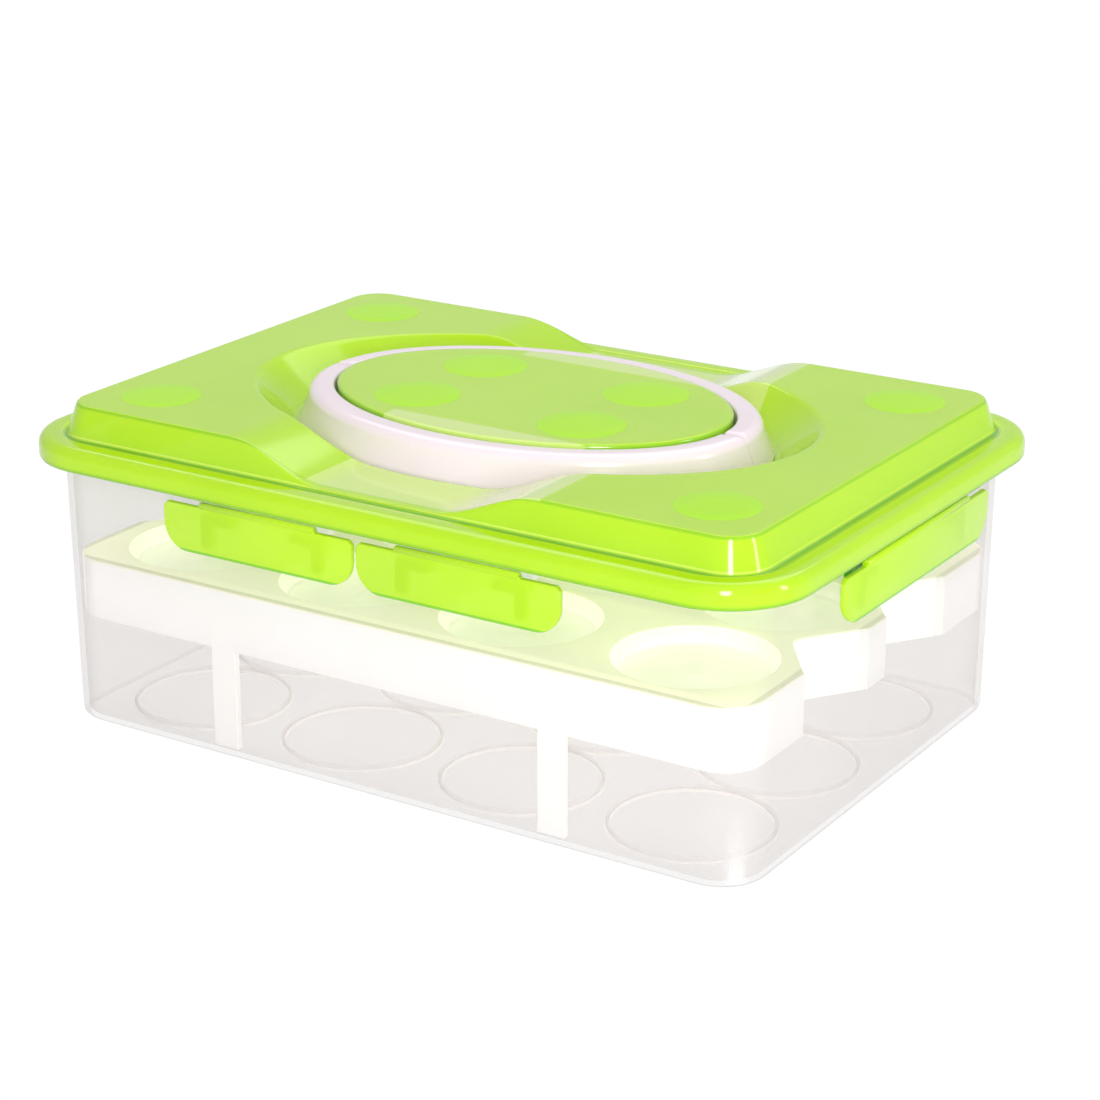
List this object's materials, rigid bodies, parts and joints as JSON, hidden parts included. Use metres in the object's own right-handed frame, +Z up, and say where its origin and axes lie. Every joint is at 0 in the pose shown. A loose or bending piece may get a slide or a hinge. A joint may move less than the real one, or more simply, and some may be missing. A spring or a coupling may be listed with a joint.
{
  "type": "egg storage box",
  "caption": "Clear box that holds eggs in layers, with a removable white egg tray on legs, a latching green lid with finger valleys, and a folding oval carrying handle.",
  "frame": {"origin": "middle of the overall box at the underside of the tub", "axes": "+X along the long side, +Z up, and the two front latches face -Y"},
  "size_m": [0.3, 0.2134, 0.1175],
  "materials": {
    "clear_tub": "clear moulded plastic, glossy",
    "white_tray": "white moulded plastic, satin",
    "green_lid": "translucent lime green plastic, glossy",
    "green_latch": "translucent lime green plastic, glossy",
    "white_handle": "white moulded plastic, satin gloss"
  },
  "bodies": {
    "box": {"box_body": "clear_tub"},
    "tray": {"egg_tray": "white_tray"},
    "lid": {"lid": "green_lid"},
    "latch_front_left": {"latch_front_left": "green_latch"},
    "latch_front_right": {"latch_front_right": "green_latch"},
    "latch_right": {"latch_right": "green_latch"},
    "latch_back_right": {"latch_back_right": "green_latch"},
    "latch_back_left": {"latch_back_left": "green_latch"},
    "latch_left": {"latch_left": "green_latch"},
    "handle_front": {"handle_front": "white_handle"},
    "handle_back": {"handle_back": "white_handle"}
  },
  "joints": [
    {"name": "tray_lift", "type": "slide", "parent": "box", "child": "tray", "axis": [0, 0, 1], "range_m": [0, 0.18]},
    {"name": "lid_lift", "type": "slide", "parent": "tray", "child": "lid", "axis": [0, 0, 1], "range_m": [0, 0.18]},
    {"name": "latch_front_left_hinge", "type": "hinge", "parent": "lid", "child": "latch_front_left", "pos_m": [-0.0396, -0.1054, 0.0951], "axis": [-1, 0, 0], "range_deg": [0, 110]},
    {"name": "latch_front_right_hinge", "type": "hinge", "parent": "lid", "child": "latch_front_right", "pos_m": [0.0396, -0.1054, 0.0951], "axis": [-1, 0, 0], "range_deg": [0, 110]},
    {"name": "latch_right_hinge", "type": "hinge", "parent": "lid", "child": "latch_right", "pos_m": [0.1487, 0, 0.0951], "axis": [0, -1, 0], "range_deg": [0, 110]},
    {"name": "latch_back_right_hinge", "type": "hinge", "parent": "lid", "child": "latch_back_right", "pos_m": [0.0396, 0.1054, 0.0951], "axis": [1, 0, 0], "range_deg": [0, 110]},
    {"name": "latch_back_left_hinge", "type": "hinge", "parent": "lid", "child": "latch_back_left", "pos_m": [-0.0396, 0.1054, 0.0951], "axis": [1, 0, 0], "range_deg": [0, 110]},
    {"name": "latch_left_hinge", "type": "hinge", "parent": "lid", "child": "latch_left", "pos_m": [-0.1487, 0, 0.0951], "axis": [0, 1, 0], "range_deg": [0, 110]},
    {"name": "handle_front_hinge", "type": "hinge", "parent": "lid", "child": "handle_front", "pos_m": [0, -0.0036, 0.113], "axis": [-1, 0, 0], "range_deg": [0, 90]},
    {"name": "handle_back_hinge", "type": "hinge", "parent": "lid", "child": "handle_back", "pos_m": [0, 0.0036, 0.113], "axis": [1, 0, 0], "range_deg": [0, 90]}
  ]
}
